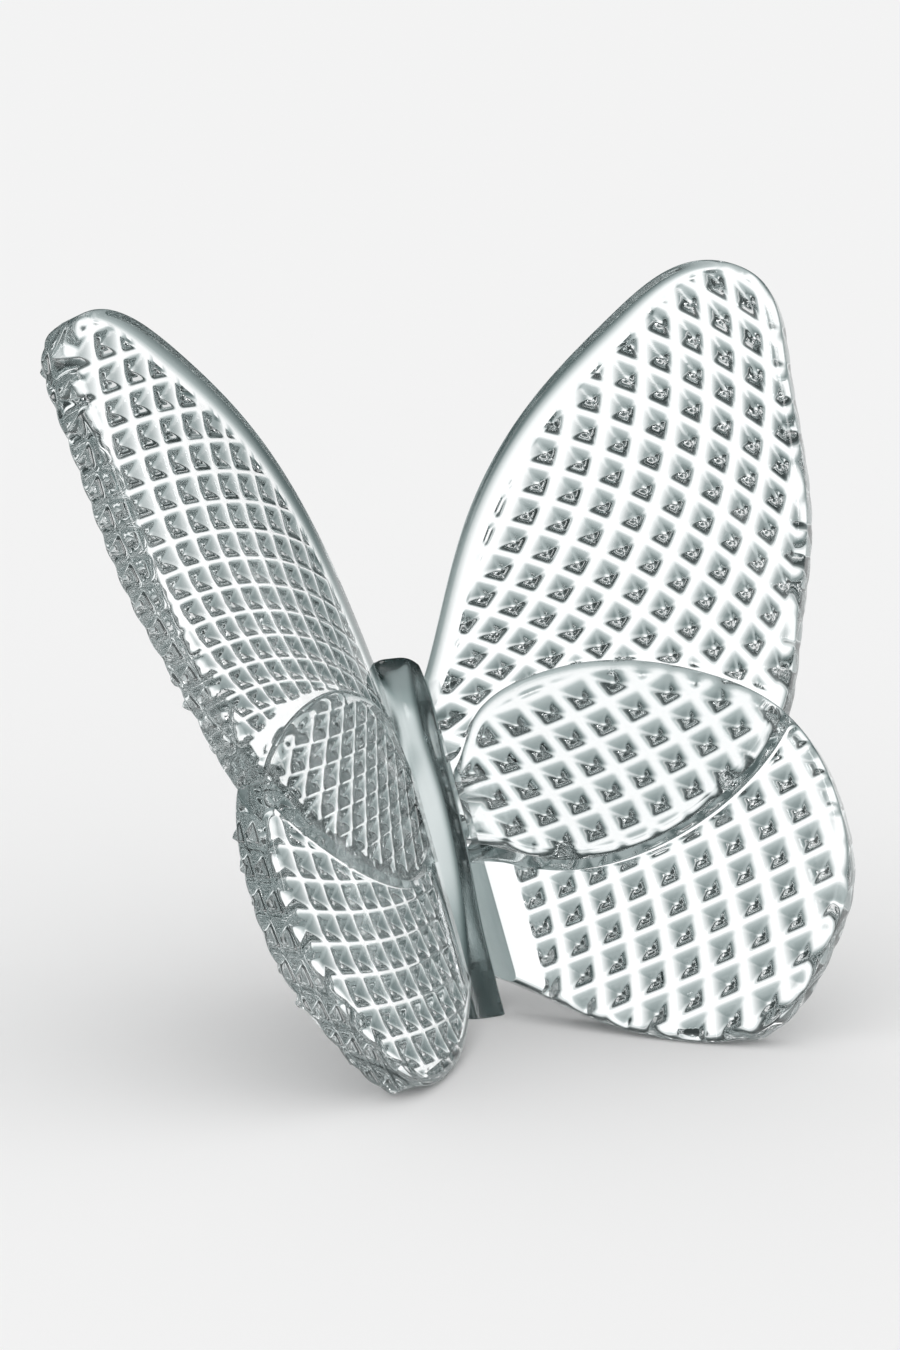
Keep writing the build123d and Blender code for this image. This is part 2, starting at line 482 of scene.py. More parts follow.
def piece_from_patches(name: str, patches: list[Array], side: Side = Side.RIGHT) -> bpy.types.Object:
    """Closed mesh from grids of points that meet along their borders.

    Args:
        name: Name of the piece.
        patches: Grids of points in millimetres, rows by columns by xyz, for the right side.
        side: Side that the piece belongs to; the left one mirrors X.

    Returns:
        The object, at the origin, with its place in its mesh.
    """
    points, quads, start = [], [], 0
    for patch in patches:
        quads.append(grid_quads(*patch.shape[:2], start))
        points.append(patch.reshape(-1, 3))
        start += len(points[-1])
    cloud = np.concatenate(points) * MM * np.array([side.value, 1.0, 1.0])
    faces = np.concatenate(quads).astype(np.int32)
    mesh = bpy.data.meshes.new(name)
    mesh.vertices.add(len(cloud))
    mesh.vertices.foreach_set("co", cloud.astype(np.float32).ravel())
    mesh.loops.add(faces.size)
    mesh.loops.foreach_set("vertex_index", faces.ravel())
    mesh.polygons.add(len(faces))
    mesh.polygons.foreach_set("loop_start", np.arange(0, faces.size, 4, dtype=np.int32))
    mesh.update(calc_edges=True)
    shell = bmesh.new()
    shell.from_mesh(mesh)
    bmesh.ops.remove_doubles(shell, verts=shell.verts, dist=WELD)
    bmesh.ops.dissolve_degenerate(shell, edges=shell.edges, dist=SLIVER)
    bmesh.ops.recalc_face_normals(shell, faces=shell.faces)
    open_edges = sum(1 for edge in shell.edges if len(edge.link_faces) != 2)
    triangles = sum(len(face.verts) - 2 for face in shell.faces)
    shell.to_mesh(mesh)
    shell.free()
    mesh.polygons.foreach_set("use_smooth", np.ones(len(mesh.polygons), dtype=bool))
    mesh.set_sharp_from_angle(angle=SHARP_ANGLE)
    made = bpy.data.objects.new(name, mesh)
    bpy.context.scene.collection.objects.link(made)
    LOG.info("%s: %d triangles, %d open edges", name, triangles, open_edges)
    return made


def dress(piece: bpy.types.Object, material: bpy.types.Material, slot: str, *nodes: str) -> None:
    """Give a piece its finish and hand it to the frame.

    Args:
        piece: The piece.
        material: Its finish.
        slot: Material slot of the record; not used.
        nodes: CAD nodes that the piece stands for.
    """
    piece.data.materials.append(material)
    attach(piece, ROOT_BODY)
    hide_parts(*nodes)


@dataclass(frozen=True)
class WingSizes:
    """Outline of a wing: knots in shares of its span and of its rise or drop, with its ends inside the body."""

    span: float
    rise: float
    drop: float
    root_shares: Pair
    upper_shares: Shares
    lower_shares: Shares
    overrun: float = 5.0

    @cached_property
    def outline(self) -> Outline:
        """The outline, from the root's upper end round the outer margin to its lower end."""
        knots = [(-self.overrun, self.root_shares[0] * self.rise)]
        knots += [(q * self.span, p * self.rise) for q, p in self.upper_shares]
        knots += [(q * self.span, p * self.drop) for q, p in self.lower_shares]
        knots += [(-self.overrun, self.root_shares[1] * self.drop)]
        return Outline(tuple(knots))


FORE = WingSizes(
    span=41.1, rise=27.1, drop=24.4, root_shares=(-0.360, -0.620),
    upper_shares=(
        (0.036, -0.041), (0.208, 0.370), (0.416, 0.678), (0.654, 0.897), (0.892, 1.000),
        (0.982, 0.908), (0.993, 0.600), (0.931, -0.015), (0.843, -0.366), (0.769, -0.612)),
    lower_shares=((0.635, -0.881), (0.402, -1.000), (0.216, -0.951), (0.056, -0.783)))
HIND = WingSizes(
    span=34.2, rise=44.5, drop=44.5, root_shares=(-0.312, -0.614),
    upper_shares=((0.059, -0.252), (0.133, -0.179), (0.332, -0.140), (0.546, -0.168), (0.773, -0.257)),
    lower_shares=(
        (0.921, -0.364), (0.984, -0.484), (0.997, -0.607), (0.958, -0.764), (0.867, -0.868),
        (0.755, -0.954), (0.631, -0.995), (0.481, -0.975), (0.236, -0.862), (0.027, -0.716)))

LATTICES = {
    "right_forewing": Lattice((0.570 * FORE.span, 0.209 * FORE.rise), (0.567, 0.800), (-0.747, 0.737),
                              (-0.029, 0.028), (-0.029, -0.017), (-0.014, 0.003)),
    "left_forewing": Lattice((0.555 * FORE.span, 0.454 * FORE.rise), (1.030, -0.180), (0.035, 0.967),
                             (-0.004, -0.024), (-0.029, 0.023), (0.017, -0.012)),
    "right_lap": Lattice((0.409 * FORE.span, -0.617 * FORE.drop), (1.036, 0.108), (-0.342, 0.970),
                         (-0.003, 0.029), (-0.031, 0.015), (0.004, -0.006)),
    "left_lap": Lattice((0.409 * FORE.span, -0.580 * FORE.drop), (0.980, -0.355), (-0.520, 0.900),
                        (0.000, 0.015), (-0.025, 0.010), (0.000, 0.000)),
    "right_hindwing": Lattice((0.514 * HIND.span, -0.614 * HIND.drop), (1.034, 0.108), (-0.025, 0.940),
                              (0.002, 0.016), (-0.027, -0.007), (-0.023, 0.008)),
    "left_hindwing": Lattice((0.544 * HIND.span, -0.654 * HIND.drop), (0.893, -0.190), (0.283, 0.872),
                             (-0.002, 0.022), (-0.025, 0.002), (-0.020, 0.029)),
}


@dataclass(frozen=True)
class Rim:
    """Edge of a wing: elliptic roundings from the back face to the wall and on to the front face.

    Every value is given at each point of the outline.
    """

    back: Array
    back_width: Array
    back_depth: Array
    front: float
    front_width: Array
    front_depth: Array
    steps: int = 7

    def rings(self) -> Margins:
        """Inset and radius of each ring, from the back face round to the front face.

        Behind, inset = width (1 - sin f) and r = back + depth (1 - cos f) for f from 0 to a right angle;
        in front, inset = width (1 - cos f) and r = front - depth (1 - sin f).

        Returns:
            One pair of arrays for each ring.
        """
        turns = np.linspace(0.0, math.pi / 2.0, self.steps)
        behind = [(self.back_width * (1.0 - math.sin(f)), self.back + self.back_depth * (1.0 - math.cos(f)))
                  for f in turns]
        ahead = [(self.front_width * (1.0 - math.cos(f)), self.front - self.front_depth * (1.0 - math.sin(f)))
                 for f in turns]
        return behind + ahead


@dataclass
class Wing:
    """What the forewing and the hindwing share: rim rings, root face and the smooth front."""

    plane: WingPlane
    front_radius: float
    back_radius: float
    edge_round: float = 0.6
    front_spread: float = 1.5
    front_fall: float = 1.2
    front_rings: int = 9
    rim_gap: float = 0.25
    wall_width: float = 0.3
    tooth_pitch: float = 3.0
    tooth_width: float = 0.4
    tooth_depth: float = 0.45
    tooth_fade: float = 0.02
    pyramids: Pyramids = Pyramids()

    outline = FORE.outline

    def shares(self, start: float, end: float) -> Array:
        """Shares of the outline's length at the points of a ring between its ends at the root."""
        raise NotImplementedError

    def grooves(self, low: float, high: float) -> Array:
        """Grooves between the teeth behind the edge: 1 - |sin| along the outline, faded out at both ends.

        Args:
            low: Share of the outline's length at which the teeth start.
            high: Share at which they end.

        Returns:
            Values from 0 on a tooth to 1 in a groove.
        """
        grid = self.outline.grid
        length = np.linalg.norm(np.diff(self.outline.curve, axis=0), axis=1).sum()
        wave = 1.0 - np.abs(np.sin(math.pi * grid * length / self.tooth_pitch))
        rise = smooth_step(low, low + self.tooth_fade, grid)
        return wave * rise * (1.0 - smooth_step(high - self.tooth_fade, high, grid))

    def margin(self, inset: Array, radius: Array) -> tuple[Array, Array]:
        """Points and radii of one ring from the root's upper end round to its lower end.

        Args:
            inset: Inset of the ring at each point of the outline.
            radius: Radius of the ring at each point of the outline.

        Returns:
            Points on the wing plane, and their radii.
        """
        curve = self.outline.inset(inset)
        start, _ = self.outline.trim(curve, float(self.plane.root_reach(radius[0])))
        _, end = self.outline.trim(curve, float(self.plane.root_reach(radius[-1])))
        shares = self.shares(start, end)
        points = self.outline.sample(curve, shares)
        radii = np.interp(shares, self.outline.grid, radius)
        points[0, 0] = self.plane.root_reach(radii[0])
        points[-1, 0] = self.plane.root_reach(radii[-1])
        points[:, 1] = self.plane.grounded(points[:, 0], points[:, 1], radii)
        return points, radii

    @cached_property
    def margins(self) -> Margins:
        """Points and radii of every ring of the rim, from the back face to the front face."""
        return [self.margin(inset, radius) for inset, radius in self.rim.rings()]

    def loop(self, points: Array, radii: Array, root_p: Array, root_back: Array) -> tuple[Array, Array]:
        """One ring closed along the root face.

        Args:
            points: Points of the ring's margin.
            radii: Radii of the ring's margin.
            root_p: Heights of the back face's root line, from its upper end down.
            root_back: Radii of the back face's root line.

        Returns:
            Points and radii of the closed ring.
        """
        share = (root_p - root_p[0]) / (root_p[-1] - root_p[0])
        high = (radii[0] - root_back[0]) / (self.front_radius - root_back[0])
        low = (radii[-1] - root_back[-1]) / (self.front_radius - root_back[-1])
        radius = root_back + (self.front_radius - root_back) * (high + (low - high) * share)
        p = points[0, 1] + (points[-1, 1] - points[0, 1]) * share
        root = np.stack([self.plane.root_reach(radius), p], axis=1)
        return np.concatenate([points, root[-2:0:-1]]), np.concatenate([radii, radius[-2:0:-1]])

    def rim_and_front(self, margins: Margins, root_p: Array, root_back: Array) -> list[Array]:
        """Rim with the root face, and the smooth front as shrunken copies of its border down to its middle.

        Args:
            margins: Points and radii of every ring.
            root_p: Heights of the back face's root line.
            root_back: Radii of the back face's root line.

        Returns:
            Two grids of points.
        """
        loops = [self.loop(points, radii, root_p, root_back) for points, radii in margins]
        flat = np.stack([points for points, _ in loops])
        radius = np.stack([radii for _, radii in loops])
        rim = closed(self.plane.place(flat[..., 0], flat[..., 1], radius))
        middle = flat[-1].mean(axis=0)
        shrink = np.linspace(1.0, 0.0, self.front_rings)[:, None, None]
        front = middle + (flat[-1][None] - middle) * shrink
        return [rim, closed(self.plane.place(front[..., 0], front[..., 1], np.float64(self.front_radius)))]

    def root_ends(self) -> tuple[float, float]:
        """Heights of the root face's upper and lower ends, the narrowest over all rings."""
        ends = np.array([points[[0, -1], 1] for points, _ in self.margins])
        return float(ends[:, 0].min()), float(ends[:, 1].max())

    def masked(self, lattice: str, inner: Array, q: Array, p: Array) -> Array:
        """Height of one field's pyramids, cut off with a soft wall at the field's border.

        Args:
            lattice: Name of the field's lattice.
            inner: Distance inside the field.
            q: Reach of the points.
            p: Height of the points.

        Returns:
            Heights in millimetres, none on the border of the grid.
        """
        u, v = LATTICES[lattice].coordinates(q, p)
        height = smooth_step(-self.wall_width, 0.0, inner) * self.pyramids.rise(u, v)
        height[[0, -1], :] = 0.0
        height[:, [0, -1]] = 0.0
        return height


@dataclass
class Forewing(Wing):
    """Upper wing: one relief field above the lap, another in the lap behind the hindwing."""

    front_radius: float = 67.5
    back_radius: float = 64.3
    columns: int = 280
    rows: int = 200
    tip_knot: int = 5
    corner_knot: int = 10
    lead_width: float = 2.0
    lead_depth: float = 1.3
    lead_fade: Pair = (0.80, 1.02)
    lap_gap: float = 0.9

    outline = FORE.outline

    @cached_property
    def rim(self) -> Rim:
        """Rim with a broad roll behind the leading edge."""
        tip = self.outline.knot_shares[self.tip_knot]
        lead = 1.0 - smooth_step(self.lead_fade[0] * tip, self.lead_fade[1] * tip, self.outline.grid)
        plain = np.full(self.outline.steps, self.edge_round)
        groove = self.grooves(tip, self.outline.knot_shares[self.corner_knot])
        return Rim(
            back=np.full(self.outline.steps, self.back_radius),
            back_width=plain + (self.lead_width - self.edge_round) * lead + self.tooth_width * groove,
            back_depth=plain + (self.lead_depth - self.edge_round) * lead + self.tooth_depth * groove,
            front=self.front_radius,
            front_width=self.front_spread * plain,
            front_depth=self.front_fall * plain,
        )

    def shares(self, start: float, end: float) -> Array:
        """Shares along the leading edge, the outer margin and the lower margin."""
        tip, corner = self.outline.knot_shares[[self.tip_knot, self.corner_knot]]
        return np.concatenate([
            np.linspace(start, tip, self.columns),
            np.linspace(tip, corner, self.rows)[1:],
            np.linspace(corner, end, self.columns)[1:],
        ])

    def relief(self, side: Side, q: Array, p: Array) -> Array:
        """Height of the pyramids on the back face, for one side's direction of the rows.

        Args:
            side: Side of the wing.
            q: Reach of the points.
            p: Height of the points.

        Returns:
            Heights in millimetres.
        """
        own, near = self.outline.depth(q, p)
        lap, _ = HIND.outline.depth(q, p)
        bare = np.interp(near, self.outline.grid, self.rim.back_width) + self.rim_gap
        own = np.minimum(own - bare, q - self.plane.root_reach(np.float64(self.back_radius)) - self.rim_gap)
        upper = self.masked(f"{side.word}_forewing", np.minimum(own, -lap - self.lap_gap), q, p)
        return upper + self.masked(f"{side.word}_lap", np.minimum(own, lap - self.lap_gap), q, p)

    def patches(self, side: Side) -> list[Array]:
        """Grids of the whole closed wing, as on the right side, with one side's relief.

        Args:
            side: Side whose relief is wanted.

        Returns:
            Back face, rim with root face, and front face.
        """
        n, m = self.columns, self.rows
        border = self.margins[0][0]
        lead, outer, lower = border[:n], border[n - 1:n + m - 1], border[n + m - 2:][::-1]
        root = line(lead[0], lower[0], m)
        flat = coons(lead, lower, root, outer)
        height = self.relief(side, flat[..., 0], flat[..., 1])
        face = self.plane.place(flat[..., 0], flat[..., 1], self.back_radius - height)
        return [face, *self.rim_and_front(self.margins, root[:, 1], np.full(m, self.back_radius))]


@dataclass
class Hindwing(Wing):
    """Lower wing: a thin upper flange on the forewing, a step along its margin and a relief field below."""

    front_radius: float = 68.25
    back_radius: float = 64.75
    columns: int = 230
    flange_rows: int = 8
    step_rows: int = 7
    rows: int = 190
    corner_knot: int = 10
    tooth_knots: tuple[int, int] = (7, 13)
    flange_radius: float = 67.45
    flange_round: float = 0.1
    bead_width: float = 0.95
    bead_depth: float = 0.5
    step_gap: float = 0.15
    step_foot: float = 0.65
    bare_root: float = 4.6

    outline = HIND.outline

    @cached_property
    def below(self) -> Array:
        """How far each point of the outline has left the forewing, from 0 on it to 1 past the step."""
        inside, _ = FORE.outline.depth(self.outline.curve[:, 0], self.outline.curve[:, 1])
        inside[: self.outline.near_root] = self.step_foot
        return np.maximum.accumulate(smooth_step(self.step_gap, self.step_foot, -inside))

    @cached_property
    def rim(self) -> Rim:
        """Rim with a beaded upper arc, thin where it lies on the forewing."""
        below = self.below
        groove = self.grooves(*self.outline.knot_shares[list(self.tooth_knots)])
        plain = self.flange_round + (self.edge_round - self.flange_round) * below
        return Rim(
            back=self.flange_radius + (self.back_radius - self.flange_radius) * below,
            back_width=plain + self.tooth_width * groove,
            back_depth=plain + self.tooth_depth * groove,
            front=self.front_radius,
            front_width=self.bead_width + (self.front_spread * self.edge_round - self.bead_width) * below,
            front_depth=self.bead_depth + (self.front_fall * self.edge_round - self.bead_depth) * below,
        )

    @cached_property
    def step_meets(self) -> Array:
        """Where the step's two lines meet the back border: shares of this outline and of the forewing's."""
        curve = self.outline.inset(self.rim.back_width)
        depth, near = FORE.outline.depth(curve[:, 0], curve[:, 1])
        depth[: self.outline.near_root] = self.step_foot
        meets = []
        for gap in (self.step_gap, self.step_foot):
            hit = int(np.argmax(depth < -gap))
            mix = (-gap - depth[hit - 1]) / (depth[hit] - depth[hit - 1])
            pairs = ((values[hit - 1], values[hit]) for values in (self.outline.grid, near))
            meets.append([before + mix * (after - before) for before, after in pairs])
        return np.array(meets)

    def shares(self, start: float, end: float) -> Array:
        """Shares along the upper arc, the step, the outer margin and the lower margin."""
        corner = self.outline.knot_shares[self.corner_knot]
        high, low = self.step_meets[:, 0]
        return np.concatenate([
            np.linspace(start, high, self.columns),
            np.linspace(high, low, self.step_rows)[1:],
            np.linspace(low, corner, self.rows)[1:],
            np.linspace(corner, end, self.columns)[1:],
        ])

    def along_forewing(self, gap: float, meet: float, radius: float, end: Array) -> Array:
        """The forewing's lower margin, grown by a gap, from the root out to the hindwing's border.

        Args:
            gap: Distance outside the forewing's outline.
            meet: Share of the forewing's outline at which the hindwing's border is met.
            radius: Radius of the face that the line lies on.
            end: Point of the border at which the line ends.

        Returns:
            Points on the wing plane.
        """
        curve = FORE.outline.inset(-gap)
        q_root = float(self.plane.root_reach(np.float64(radius)))
        _, start = FORE.outline.trim(curve, q_root)
        points = FORE.outline.sample(curve, np.linspace(start, meet, self.columns))
        points[0, 0] = q_root
        points[-1] = end
        return points

    @cached_property
    def step_lines(self) -> tuple[Array, Array]:
        """Upper and lower line of the step; near the root the lower one is kept below the upper one."""
        border, n, k = self.margins[0][0], self.columns, self.step_rows
        high = self.along_forewing(self.step_gap, self.step_meets[0, 1], self.flange_radius, border[n - 1])
        low = self.along_forewing(self.step_foot, self.step_meets[1, 1], self.back_radius, border[n + k - 2])
        over = max(0.0, low[0, 1] - high[0, 1] + self.step_foot)
        low[:, 1] -= over * (1.0 - smooth_step(0.0, self.bare_root, low[:, 0] - low[0, 0]))
        return high, low

    @cached_property
    def flange(self) -> Array:
        """Grid of the flange on the wing plane, between the upper arc and the step."""
        top, high = self.margins[0][0][: self.columns], self.step_lines[0]
        outer = np.repeat(top[-1:], self.flange_rows, axis=0)
        return coons(top, high, line(top[0], high[0], self.flange_rows), outer)

    def relief(self, side: Side, q: Array, p: Array) -> Array:
        """Height of the pyramids on the back face below the forewing, for one side's direction of the rows.

        Args:
            side: Side of the wing.
            q: Reach of the points.
            p: Height of the points.

        Returns:
            Heights in millimetres.
        """
        own, near = self.outline.depth(q, p)
        fore, _ = FORE.outline.depth(q, p)
        own -= np.interp(near, self.outline.grid, self.rim.back_width)
        inner = np.minimum(np.minimum(own, -fore - self.step_foot) - self.rim_gap, q - self.bare_root)
        return self.masked(f"{side.word}_hindwing", inner, q, p)

    def patches(self, side: Side) -> list[Array]:
        """Grids of the whole closed wing, as on the right side, with one side's relief ground off at the table.

        Args:
            side: Side whose relief is wanted.

        Returns:
            Flange, step, back face, rim with root face, and front face.
        """
        n, k, m = self.columns, self.step_rows, self.rows
        border, radius = self.margins[0][0], self.margins[0][1].copy()
        radius[:n] = self.flange_radius
        radius[n + k - 2:] = self.back_radius
        high, low = self.step_lines
        bottom = border[n + k + m - 3:][::-1]
        step_radius = radius[n - 1:n + k - 1]
        step_root = np.stack([self.plane.root_reach(step_radius), line(high[0], low[0], k)[:, 1]], axis=1)
        lower_root = line(low[0], bottom[0], m)
        step = coons(high, low, step_root, border[n - 1:n + k - 1])
        lower = coons(low, bottom, lower_root, border[n + k - 2:n + k + m - 2])
        height = self.relief(side, lower[..., 0], lower[..., 1])
        face = self.plane.place(lower[..., 0], lower[..., 1], self.back_radius - height)
        face[..., 2] = np.maximum(face[..., 2], 0.0)
        root_p = np.concatenate([self.flange[:, 0, 1], step_root[1:, 1], lower_root[1:, 1]])
        root_back = np.concatenate([
            np.full(self.flange_rows, self.flange_radius), step_radius[1:], np.full(m - 1, self.back_radius)])
        return [
            self.plane.place(self.flange[..., 0], self.flange[..., 1], np.float64(self.flange_radius)),
            self.plane.place(step[..., 0], step[..., 1], step_radius[:, None]),
            face,
            *self.rim_and_front([(border, radius), *self.margins[1:]], root_p, root_back),
        ]


@dataclass
class Film:
    """Clear films in the joints: thin slabs just inside the gap between two faces."""

    plane: WingPlane
    gap_shares: Pair = (0.25, 0.75)
    inset: float = 0.5
    across: int = 24

    @staticmethod
    def slab(front: Array, back: Array) -> list[Array]:
        """Two facing grids and the four walls that close them.

        Args:
            front: Grid of the one face.
            back: Grid of the other face.

        Returns:
            Six grids of points.
        """
        walls = [np.stack([front[row], back[row]]) for row in (0, -1)]
        walls += [np.stack([front[:, column], back[:, column]]) for column in (0, -1)]
        return [front, back, *walls]

    def in_lap(self, forewing: Wing, hindwing: Hindwing) -> list[Array]:
        """Film between the forewing's front and the hindwing's flange.

        Args:
            forewing: Wing behind the film.
            hindwing: Wing in front of the film.

        Returns:
            Grids of the closed film.
        """
        flange = hindwing.flange
        middle = flange.mean(axis=(0, 1))
        size = np.ptp(flange[..., 1]) / 2.0
        flat = middle + (flange - middle) * (1.0 - self.inset / size)
        gap = hindwing.flange_radius - forewing.front_radius
        radii = [np.float64(forewing.front_radius + share * gap) for share in self.gap_shares]
        return self.slab(*(self.plane.place(flat[..., 0], flat[..., 1], radius) for radius in radii))

    def on_root(self, wing: Wing, flank: float) -> list[Array]:
        """Film between the body's flank and a wing's flat root.

        Args:
            wing: The wing.
            flank: Half width of the body.

        Returns:
            Grids of the closed film.
        """
        high, low = wing.root_ends()
        p = np.linspace(high - self.inset, low + self.inset, self.across)[:, None]
        r = np.linspace(wing.back_radius + self.inset, wing.front_radius - self.inset, self.across)[None]
        face = self.plane.place(self.plane.root_reach(r), p, r)
        gap = self.plane.root_cut - flank
        reach = [np.full(face.shape[:2], flank + share * gap) for share in self.gap_shares]
        return self.slab(*(np.dstack([x, face[..., 1:]]) for x in reach))


@dataclass
class Body:
    """Bar from the rounded head to the flat tail: rounded cross-sections carried along its side profile."""

    shoulder_y: float
    foot_front: float = 17.5
    foot_depth: float = 10.6
    head_top: float = 28.9
    half_width: float = 2.3
    section_power: float = 4.4
    head_round: float = 1.6
    sections: int = 140
    around: int = 96
    fineness: int = 4
    foot_rings: int = 6
    front_shares: Shares = (
        (-1.0, 0.0), (-0.850, 0.130), (-0.743, 0.230), (-0.577, 0.450), (-0.308, 0.737), (-0.051, 0.960),
        (0.125, 1.0))
    back_shares: Shares = ((0.206, 0.866), (-0.034, 0.623), (-0.298, 0.342))

    def patches(self) -> list[Array]:
        """Grids of the whole closed body.

        Each section is a superellipse: its half width times |cos|^(2/n), its half depth times |sin|^(2/n).

        Returns:
            The side wall with the rounded head, and the flat foot.
        """
        heel = (self.foot_depth / self.foot_front - 1.0, 0.0)
        scale = np.array([self.foot_front, self.head_top])
        knots = np.array([*self.front_shares, *self.back_shares, heel]) * scale
        curve, shares = spline(knots, self.fineness * self.sections)
        top = shares[len(self.front_shares) - 1]
        grid = np.linspace(0.0, 1.0, len(curve))
        along = np.sin(np.linspace(0.0, math.pi / 2.0, self.sections))
        ahead, behind = (
            np.stack([np.interp(place, grid, curve[:, axis]) for axis in (0, 1)], axis=1)
            for place in (along * top, 1.0 - along * (1.0 - top)))
        middle = (ahead + behind) / 2.0
        half = (behind - ahead) / 2.0
        turn = np.linspace(0.0, 2.0 * math.pi, self.around + 1)
        power = 2.0 / self.section_power
        across = np.sign(np.cos(turn)) * np.abs(np.cos(turn)) ** power
        through = np.sign(np.sin(turn)) * np.abs(np.sin(turn)) ** power
        narrow = np.sqrt(np.clip(np.linalg.norm(half, axis=1) / self.head_round, 0.0, 1.0))
        wall = np.stack([
            self.half_width * narrow[:, None] * across[None],
            self.shoulder_y + middle[:, :1] + half[:, :1] * through[None],
            middle[:, 1:] + half[:, 1:] * through[None],
        ], axis=-1)
        shrink = np.linspace(1.0, 0.0, self.foot_rings)[:, None, None]
        foot_middle = wall[0].mean(axis=0)
        return [wall, foot_middle + (wall[:1] - foot_middle) * shrink]


def quad_sheet(name: str, points: Array, material: bpy.types.Material) -> bpy.types.Object:
    """Open sheet for the stage from a grid of points.

    Args:
        name: Name of the sheet.
        points: Grid of points in millimetres, rows by columns by xyz.
        material: What it is made of.

    Returns:
        The object.
    """
    mesh = bpy.data.meshes.new(name)
    mesh.from_pydata(points.reshape(-1, 3) * MM, [], grid_quads(*points.shape[:2]))
    mesh.materials.append(material)
    made = bpy.data.objects.new(name, mesh)
    bpy.context.scene.collection.objects.link(made)
    return made


def bare_material(name: str) -> tuple[bpy.types.Material, Wiring, bpy.types.Node]:
    """Node material with nothing but its output.

    Args:
        name: Name of the material.

    Returns:
        The material, its wiring and its output node.
    """
    made = bpy.data.materials.new(name)
    made.use_nodes = True
    made.node_tree.nodes.clear()
    wires = Wiring(made.node_tree)
    return made, wires, wires.add("OutputMaterial")


def on_dome(reach: float, azimuth: Array, elevation: Array) -> Array:
    """Points at a reach from the origin; azimuth 0 lies behind the ornament, azimuth 90 on its right."""
    flat = reach * np.cos(elevation)
    return np.stack(np.broadcast_arrays(
        flat * np.sin(azimuth), flat * np.cos(azimuth), reach * np.sin(elevation)), axis=-1)


@dataclass(frozen=True)
class Card:
    """A soft light card that only the crystal sees: middle and size in degrees, and how bright it is."""

    name: str
    azimuth: float
    elevation: float
    width: float
    height: float
    strength: float
    reach: float = 820.0


